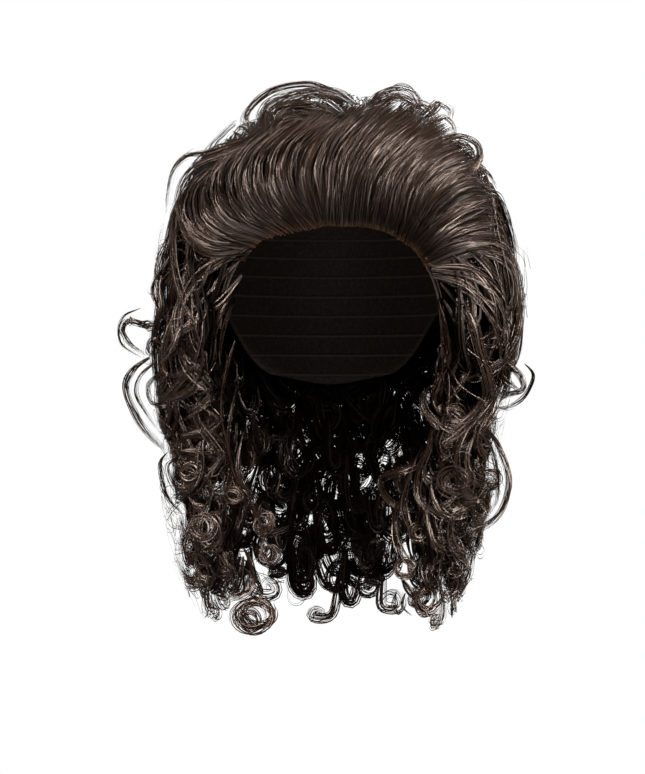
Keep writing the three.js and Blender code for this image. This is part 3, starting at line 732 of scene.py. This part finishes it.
def grow_swept(hair):
    """The hair swept off the face: an even layer below, clumps of fine strands on it, then single hairs."""
    last = len(SWEEP_GUIDES) - 1
    base, clumps = TOP_LOCKS["swept_base"], TOP_LOCKS["swept_clump"]
    for i in range(base):
        route = sweep_route((i + 0.5) / base * last, rng.uniform(0.84, 0.92), rng.uniform(0.85, 1), 0, 0)
        hair.grow(route, **KINDS["swept_base"])
    for i in range(clumps):
        route = sweep_route(
            place=(i + rng.uniform(0.1, 0.9)) / clumps * last,
            layer=rng.uniform(0.9, 1),
            reach=rng.uniform(0.7, 1),
            sway=rng.normal(0, 2.2),
            ripple=rng.uniform(0.5, 2.5),
        )
        hair.grow(route, width=rng.uniform(6, 12), **KINDS["swept_clump"])
    for _ in range(TOP_LOCKS["swept_single"]):
        route = sweep_route(
            place=rng.uniform(0, last),
            layer=rng.uniform(0.98, 1.05),
            reach=1,
            sway=rng.normal(0, 5),
            ripple=rng.uniform(1, 4),
        )
        hair.grow(route, **KINDS["swept_single"])


def grow_crown(hair):
    """Hair that runs back over the crown, rings of locks that fall back behind it, and loose curls."""
    base, over = TOP_LOCKS["crown_base"], TOP_LOCKS["crown_over"]
    for i in range(base):
        route = over_route(mix(-BASE_SIDES, BASE_SIDES, (i + 0.5) / base), 0, rng.uniform(0.66, 0.74))
        hair.grow(route, **KINDS["crown_base"])
    for i in range(over):
        across = mix(-OVER_SIDES, OVER_SIDES, (i + rng.random()) / over)
        route = over_route(across, rng.normal(0, 0.06), rng.uniform(0.78, 0.93))
        hair.grow(route, **KINDS["crown_over"])
    for ring, locks in CROWN_RINGS:
        for i in range(locks):
            azimuth = mix(*CROWN_SPAN, (i + rng.random()) / locks)
            length = rng.uniform(55, 80) / ARC_LENGTH
            route = crown_route(azimuth, ring, rng.normal(0, 12), length, rng.uniform(0.8, 0.98))
            hair.grow(route, **KINDS["crown_back"])
    for _ in range(TOP_LOCKS["crown_curl"]):
        route = sheet_route(
            azimuth=rng.uniform(*LOOSE_SPAN),
            arc=rng.uniform(0.2, 0.5),
            layer=rng.uniform(0.93, 1.0),
            length=rng.uniform(45, 75),
            heading=rng.normal(0, 0.9),
            wave=0.4,
            turns=rng.uniform(0.7, 1.3),
            sharp=2,
            sign=rng.choice([-1, 1]),
        )
        hair.grow(route, **KINDS["crown_curl"])


RISE_FROM, RISEN = 0.7, 0.35  # where in its layer a lock starts, and the share of its length where it is out
TIP_LIFT = 3  # how far the tips spring off
SWINGS = 1.2  # side to side, along a lock
ENDS = (0.86, 1)  # of HAIR_DROP, where locks may end


def sheet_route(azimuth, arc, layer, length, heading, wave, turns, sharp, sign, keep=None):
    """Hair that starts at a place on the head and runs on a layer of the volume, bending as it goes."""
    steps = np.linspace(0, 1, 80)
    phase = rng.uniform(0, 1)
    swing = wave * np.sin(2 * math.pi * (SWINGS * steps + phase))
    bend = heading + swing + sign * 2 * math.pi * turns * steps**sharp
    step = length / len(steps)
    right = np.cumsum(np.sin(bend)) * step
    down = np.cumsum(np.cos(bend)) * step
    low = arc_at(HAIR_DROP * rng.uniform(*ENDS)) - SLOWING

    def route(t):
        across = np.interp(t, steps, right)
        fallen = np.interp(t, steps, down)
        level = arc + fallen / ARC_LENGTH
        spare = np.maximum(level - low, 0)
        level = np.minimum(level, low) + SLOWING * (1 - np.exp(-spare / SLOWING))
        around = azimuth + np.degrees(across / (HEAD_WIDTH / 2 + HAIR_VOLUME))
        if keep:
            around = keep(around, drop_at(level) / HAIR_DROP)
        rise = mix(RISE_FROM, 1, smooth(t, 0, RISEN))
        lift = CAP_WALL + layer * rise * stand_off(around, level) + TIP_LIFT * t
        return on_head(around, level, lift)

    return route


TOP_ARC, LOW_ARC = float(arc_at(RIM_DROP)), float(arc_at(HAIR_DROP))
SPILL, FACE_GAP = 7, 2  # degrees by which locks pass the borders, and keep off the face
INNER_LEVEL = 0.3  # share of HAIR_DROP whose borders place the mass painted dark as shade
# From the highest lock to the lowest
CURL_LENGTHS, CURL_TURNS, CURL_STRANDS = (125, 88), (0.4, 1.25), (36, 20)
# Shares of the way down from the top rim: where locks start, and where the swept ones and those in painted
# shade end
HIGHEST, INNER_HIGHEST, LOWEST = -0.1, 0.3, 0.84
SWEPT_ABOVE, SHADED_ABOVE = 0.4, 0.5


def place_in(area, share, down):
    border = area["border"]
    return area["sign"] * mix(border_at(border, down), border_at(border + 1, down), share)


def kept_in(area):
    """Keeps hair in its own area, and clear of the face."""
    border, sign = area["border"], area["sign"]

    def keep(around, down):
        first = border_at(border, down) + (FACE_GAP if border == 0 else -SPILL)
        last = border_at(border + 1, down) + SPILL
        return sign * (last - np.abs(last - (first + np.abs(sign * around - first))))

    return keep


def grow_inner(hair, area):
    """The mass close to the head, painted dark as shade, then the curls of the inside, partly in painted
    shade.
    """
    inner, keep = area["inner"], kept_in(area)
    for i in range(inner):
        route = sheet_route(
            azimuth=place_in(area, (i + 0.5) / inner, INNER_LEVEL),
            arc=TOP_ARC,
            layer=rng.uniform(0.3, 0.66),
            length=rng.uniform(160, 225),
            heading=rng.normal(0, 0.1),
            wave=rng.uniform(0.4, 0.8),
            turns=rng.uniform(0.8, 1.4),
            sharp=3,
            sign=rng.choice([-1, 1]),
            keep=keep,
        )
        hair.grow(route, **KINDS["inner"])
    for i in range(area["low"]):
        down = mix(INNER_HIGHEST, LOWEST, (i + rng.random()) / area["low"])
        route = sheet_route(
            azimuth=place_in(area, (i * GOLDEN_SHARE + rng.uniform(0, 0.3)) % 1, down),
            arc=mix(TOP_ARC, LOW_ARC, down),
            layer=rng.uniform(0.2, 0.7),
            length=rng.uniform(60, 90),
            heading=rng.normal(0, 0.4),
            wave=0.5,
            turns=rng.uniform(0.9, 1.5),
            sharp=rng.uniform(1.4, 2),
            sign=rng.choice([-1, 1]),
            keep=keep,
        )
        hair.grow(route, **KINDS["low_curl"])


def grow_outer(hair, area):
    """Locks on the outside, shorter and more curled the lower they start."""
    locks, sign, keep = area["locks"], area["sign"], kept_in(area)
    by_face = area["border"] == 0
    for i in range(locks):
        order = (i + rng.random()) / locks
        down = mix(HIGHEST, LOWEST, order**0.9)
        nearest = 0.5 if down < 0.05 else 0.05
        share = rng.uniform(nearest if by_face else -0.02, 1.02)
        curly = smooth(down, 0.1, 0.6)
        layer, scale = rng.uniform(0.74, 1.0), rng.uniform(0.8, 1.2)
        heading, wave = rng.normal(0, 0.3), rng.uniform(0.3, 0.7)
        turns = mix(*CURL_TURNS, curly) * rng.uniform(0.7, 1.2)
        sharp = rng.uniform(1.6, 2.8)
        side = sign if by_face and share < 0.4 else rng.choice([-1, 1])
        if by_face and down < SWEPT_ABOVE:
            heading = sign * rng.uniform(0.6, 1.1)
            turns = rng.uniform(0.25, 0.42)
            wave, sharp, side = 0.25, 1, -sign
        azimuth, arc = place_in(area, share, down), mix(TOP_ARC, LOW_ARC, down)
        length = mix(*CURL_LENGTHS, curly) * scale
        route = sheet_route(azimuth, arc, layer, length, heading, wave, turns, sharp, side, keep)
        hair.grow(
            route,
            strands=int(mix(*CURL_STRANDS, smooth(down, 0.3, 0.8))),
            width=rng.uniform(6, 12),
            depth=rng.uniform(4, 7),
            # locks by the face start deep in painted shade
            tone=(0.08, 0.9) if by_face and down < SHADED_ABOVE else LIT,
            **KINDS["curl"],
        )


def grow_singles(hair, area):
    """Thin single hairs that stand off the outline."""
    keep = kept_in(area)
    for _ in range(SINGLES):
        down = rng.uniform(0.05, 0.85)
        route = sheet_route(
            azimuth=place_in(area, rng.uniform(0, 1), down),
            arc=mix(TOP_ARC, LOW_ARC, down),
            layer=rng.uniform(0.98, 1.1),
            length=rng.uniform(40, 80),
            heading=rng.normal(0, 0.8),
            wave=rng.uniform(0.3, 0.9),
            turns=rng.uniform(0.4, 1.4),
            sharp=1.6,
            sign=rng.choice([-1, 1]),
            keep=keep,
        )
        hair.grow(route, **KINDS["single"])


EASING = (-9, -6, -3, 0, 3, 6, 9)  # degrees to each side over which the cap's edge is averaged
CAP_OPENING = 0.004  # arc at the crown where the rings of the cap's mesh start


def even_edge(azimuths):
    """The cap's edge with its corners eased."""
    return np.mean([edge_arc(azimuths + turn) for turn in EASING], axis=0)


def shell(name, azimuths, arcs, lifts, rows, closed):
    """A wall on the head, between two lines of arcs and two lifts."""
    shares = np.concatenate([np.linspace(0, 1, rows), np.linspace(1, 0, rows)])
    lift = np.repeat(lifts[::-1], rows)[None, :]
    arc = mix(arcs[0][:, None], arcs[1][:, None], shares[None, :])
    places, _ = on_head(azimuths[:, None] + 0 * arc, arc, lift + 0 * arc)
    across, around = arc.shape
    i, j = np.meshgrid(np.arange(across if closed else across - 1), np.arange(around), indexing="ij")
    after, beside = (i + 1) % across, (j + 1) % around
    near, far = i * around, after * around
    quads = np.stack([near + j, near + beside, far + beside, far + j], axis=-1)
    level = np.concatenate([arc, arc[:1]]) / (2 * arc.max())
    level[:, rows:] = 1 - level[:, rows:]
    corners = [(i, j), (i, beside), (i + 1, beside), (i + 1, j)]
    uvs = [np.stack([u / across, level[u, v]], axis=-1) for u, v in corners]
    uvs = np.stack(uvs, axis=2).reshape(-1, 2)
    return mesh_object(name, places.reshape(-1, 3) * MM, quads.reshape(-1, 4), uvs)


def net_material():
    """Stretch net with sewn rows of wefts."""
    material = plain_material("stretch_net", NET_COLOR, 0.6)
    tree = material.node_tree
    nodes = tree.nodes
    uv = nodes.new("ShaderNodeUVMap")
    uv.uv_map = "OFBake"
    split = nodes.new("ShaderNodeSeparateXYZ")
    rows = nodes.new("ShaderNodeMath")
    rows.operation = "MULTIPLY"
    rows.inputs[1].default_value = WEFT_ROWS
    row = nodes.new("ShaderNodeMath")
    row.operation = "FRACT"
    weft = color_ramp(tree, ROW_STOPS)
    mesh = nodes.new("ShaderNodeTexVoronoi")
    mesh.inputs["Scale"].default_value = 1
    stretch = nodes.new("ShaderNodeMapping")
    stretch.inputs["Scale"].default_value = NET_MESHES
    net = color_ramp(tree, NET_STOPS)
    sewn = nodes.new("ShaderNodeMix")
    sewn.data_type = "RGBA"
    sewn.inputs["B"].default_value = SEWN_COLOR
    bump = nodes.new("ShaderNodeBump")
    bump.inputs["Distance"].default_value = 0.0008
    wire(
        tree,
        [
            (uv.outputs["UV"], split.inputs[0]),
            (uv.outputs["UV"], stretch.inputs["Vector"]),
            (stretch.outputs["Vector"], mesh.inputs["Vector"]),
            (mesh.outputs["Distance"], net.inputs[0]),
            (split.outputs["Y"], rows.inputs[0]),
            (rows.outputs[0], row.inputs[0]),
            (row.outputs[0], weft.inputs[0]),
            (weft.outputs[0], sewn.inputs["Factor"]),
            (net.outputs[0], sewn.inputs["A"]),
            (sewn.outputs["Result"], nodes["Principled BSDF"].inputs["Base Color"]),
            (weft.outputs[0], bump.inputs["Height"]),
            (bump.outputs["Normal"], nodes["Principled BSDF"].inputs["Normal"]),
        ],
    )
    return material


def make_cap():
    azimuths = np.linspace(0, 360, 120, endpoint=False)
    arcs = (0 * azimuths + CAP_OPENING, even_edge(azimuths))
    cap = shell("stretch_cap", azimuths, arcs, (0, CAP_WALL), rows=40, closed=True)
    dress(cap, net_material(), "cap")


def make_band():
    azimuths = np.linspace(-BAND_END, BAND_END, 161)
    edge = even_edge(azimuths)
    seat = CAP_WALL + 2 * GAP
    arcs, lifts = (edge - BAND_WIDTH / ARC_LENGTH, edge), (seat, seat + BAND_WALL)
    band = shell("knotted_band", azimuths, arcs, lifts, rows=6, closed=False)
    dress(band, plain_material("hairline_knots", KNOT_COLOR, 0.7), "hairline_band")


def make_camera():
    """The photograph's view: 645 by 774 pixels, level, from in front."""
    view_height, distance, level, across = 516, 2000, -150.7, -5.7
    camera = bpy.data.cameras.new("camera")
    camera.sensor_width = 36
    camera.lens = camera.sensor_width * distance / view_height
    camera.clip_end = 20
    eye = bpy.data.objects.new("camera", camera)
    eye.location = (across * MM, -distance * MM, level * MM)
    eye.rotation_euler = (math.pi / 2, 0, 0)
    bpy.context.collection.objects.link(eye)
    bpy.context.scene.camera = eye


def make_stage():
    """A pale floor, soft lights, and a surround that is white to the camera and dimmer as a light."""
    floor_level, radius, hole, sides = -1.5, 5.0, 0.05, 96
    turns = [2 * math.pi * i / sides for i in range(sides)]
    verts = [(r * math.cos(a), r * math.sin(a), floor_level) for r in (hole, radius) for a in turns]
    quads = np.array([[i, sides + i, sides + (i + 1) % sides, (i + 1) % sides] for i in range(sides)])
    floor = mesh_object("floor", verts, quads)
    floor.data.materials.append(plain_material("pale_floor", (0.86, 0.86, 0.86), roughness=0.9, glow=0.85))
    floor.visible_diffuse = floor.visible_glossy = False
    lights = [
        {"name": "key", "place": (-1.3, -1.4, 1.5), "size": 0.5, "power": 55},
        {"name": "fill", "place": (1.4, -1.5, 1.0), "size": 0.5, "power": 40},
        {"name": "top", "place": (0.1, -0.3, 1.9), "size": 0.6, "power": 12},
        {"name": "left", "place": (-1.9, -0.8, 0.3), "size": 0.5, "power": 54},
        {"name": "right", "place": (1.9, -0.6, 0.2), "size": 0.5, "power": 62},
        {"name": "back", "place": (0.6, 1.8, 1.3), "size": 0.7, "power": 46},
    ]
    middle = Vector((0, 0, -0.13))  # what the lights point at
    for row in lights:
        light = bpy.data.lights.new(row["name"], "AREA")
        light.size = row["size"]
        light.energy = row["power"]
        lamp = bpy.data.objects.new(row["name"], light)
        lamp.location = row["place"]
        lamp.rotation_euler = (middle - lamp.location).to_track_quat("-Z", "Y").to_euler()
        bpy.context.collection.objects.link(lamp)
    world = bpy.data.worlds.new("surround")
    world.use_nodes = True
    nodes = world.node_tree.nodes
    seen, lit = nodes["Background"], nodes.new("ShaderNodeBackground")
    seen.inputs["Color"].default_value = lit.inputs["Color"].default_value = (1, 1, 1, 1)
    seen.inputs["Strength"].default_value = 1.0
    lit.inputs["Strength"].default_value = 0.15
    ray, choice = nodes.new("ShaderNodeLightPath"), nodes.new("ShaderNodeMixShader")
    wire(
        world.node_tree,
        [
            (ray.outputs["Is Camera Ray"], choice.inputs[0]),
            (lit.outputs[0], choice.inputs[1]),
            (seen.outputs[0], choice.inputs[2]),
            (choice.outputs[0], nodes["World Output"].inputs["Surface"]),
        ],
    )
    bpy.context.scene.world = world
    bpy.context.scene.view_settings.view_transform = "Standard"


make_camera()
make_stage()

# shaded_fibre is a duller copy of the fibre that paints shade near the roots and over the inner mass
swept, curled, shaded = [hair_material(name, gloss) for name, gloss in GLOSS.items()]
top = Hair("front_sweep_hair")
grow_swept(top)
grow_crown(top)
grow_traced(top, TRACED["front_sweep"], reach=HEAD_LENGTH)
top.make([swept, shaded])
for area in AREAS:
    fall = Hair(area["piece"] + "_hair")
    grow_inner(fall, area)
    grow_outer(fall, area)
    grow_singles(fall, area)
    grow_traced(fall, TRACED.get(area["piece"], []), reach=HEAD_LENGTH / 5)
    grow_coils(fall, COILS.get(area["piece"], []))
    fall.make([curled, shaded])

make_cap()
make_band()
